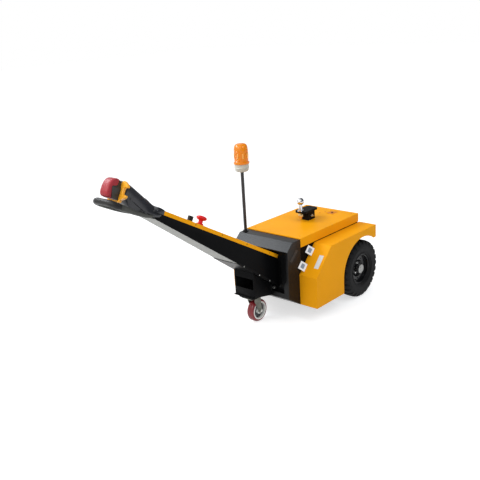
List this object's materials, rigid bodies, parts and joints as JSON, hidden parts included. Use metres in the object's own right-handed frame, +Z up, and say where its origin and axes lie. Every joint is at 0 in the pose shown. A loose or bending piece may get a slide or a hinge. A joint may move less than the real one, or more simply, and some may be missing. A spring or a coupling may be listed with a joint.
{
  "type": "pedestrian controlled three wheel battery tow tug",
  "caption": "Compact battery tow tug on pneumatic drive wheels and a swivel castor, steered by hand from a long boom with a control head; tow ball on the lid.",
  "frame": {"origin": "on the floor, in the middle of the machine's length and width", "axes": "+Z up, -Y towards the boom's control head, +X to the machine's side whose fender the picture shows"},
  "size_m": [0.714, 2.032, 1.1763],
  "materials": {
    "yellow_paint": "semi-gloss powder coat, orange yellow",
    "black_sheet": "satin black powder coat",
    "black_tube": "gloss black tube",
    "black_rim": "gloss black pressed steel",
    "grey_sheet": "matt grey primer",
    "axle_casting": "dark grey painted casting",
    "zinc_plate": "zinc plated steel",
    "chrome": "polished chrome",
    "castor_core": "cast light grey core",
    "castor_tread": "dark red polyurethane",
    "tyre_rubber": "black pneumatic tyre",
    "battery_case": "dark battery case",
    "head_plastic": "dark grey moulded plastic, satin gloss",
    "black_plastic": "matt black plastic",
    "yellow_plastic": "orange yellow plastic",
    "red_plastic": "bright red plastic",
    "rose_button": "dusky red button",
    "grey_plastic": "light grey plastic",
    "amber_lens": "amber lens"
  },
  "bodies": {
    "tug_body": {"chassis": "black_sheet", "rear_panel": "yellow_paint", "top_cover": "yellow_paint", "front_housing": "black_sheet", "battery": "battery_case", "transaxle": "axle_casting", "drive_motor": "axle_casting", "fender_left": "yellow_paint", "fender_right": "yellow_paint", "latch_plates_left": "zinc_plate", "latch_plates_right": "zinc_plate", "nose_box": "black_sheet", "nose_cradle": "black_sheet", "boom_bolt": "zinc_plate", "castor_plate": "zinc_plate", "hitch_block": "black_sheet", "hitch_plate": "black_sheet", "tow_ball": "chrome", "beacon_pole": "black_tube", "beacon_base": "grey_plastic", "beacon_lens": "amber_lens", "boom_sides": "black_sheet", "boom_strip": "yellow_paint", "boom_underplate": "grey_sheet", "head_shell": "head_plastic", "head_grip_left": "head_plastic", "head_grip_right": "head_plastic", "head_collar": "black_plastic", "belly_button": "rose_button", "throttle_left": "yellow_plastic", "throttle_right": "yellow_plastic", "emergency_stop": "red_plastic", "key_housing": "black_plastic"},
    "drive_wheel_left": {"tyre_left": "tyre_rubber", "rim_left": "black_rim", "hub_left": "zinc_plate"},
    "drive_wheel_right": {"tyre_right": "tyre_rubber", "rim_right": "black_rim", "hub_right": "zinc_plate"},
    "castor_swivel": {"castor_fork": "zinc_plate", "castor_axle": "zinc_plate"},
    "castor_wheel": {"castor_rim": "castor_core", "castor_tread": "castor_tread"}
  },
  "joints": [
    {"name": "drive_left_roll", "type": "hinge", "parent": "tug_body", "child": "drive_wheel_left", "pos_m": [-0.302, 0.81605, 0.2], "axis": [1, 0, 0], "continuous": true},
    {"name": "drive_right_roll", "type": "hinge", "parent": "tug_body", "child": "drive_wheel_right", "pos_m": [0.302, 0.81605, 0.2], "axis": [1, 0, 0], "continuous": true},
    {"name": "castor_turn", "type": "hinge", "parent": "tug_body", "child": "castor_swivel", "pos_m": [0, 0.05905, 0.17], "axis": [0, 0, 1], "continuous": true},
    {"name": "castor_roll", "type": "hinge", "parent": "castor_swivel", "child": "castor_wheel", "pos_m": [0, 0.09705, 0.075], "axis": [1, 0, 0], "continuous": true}
  ]
}
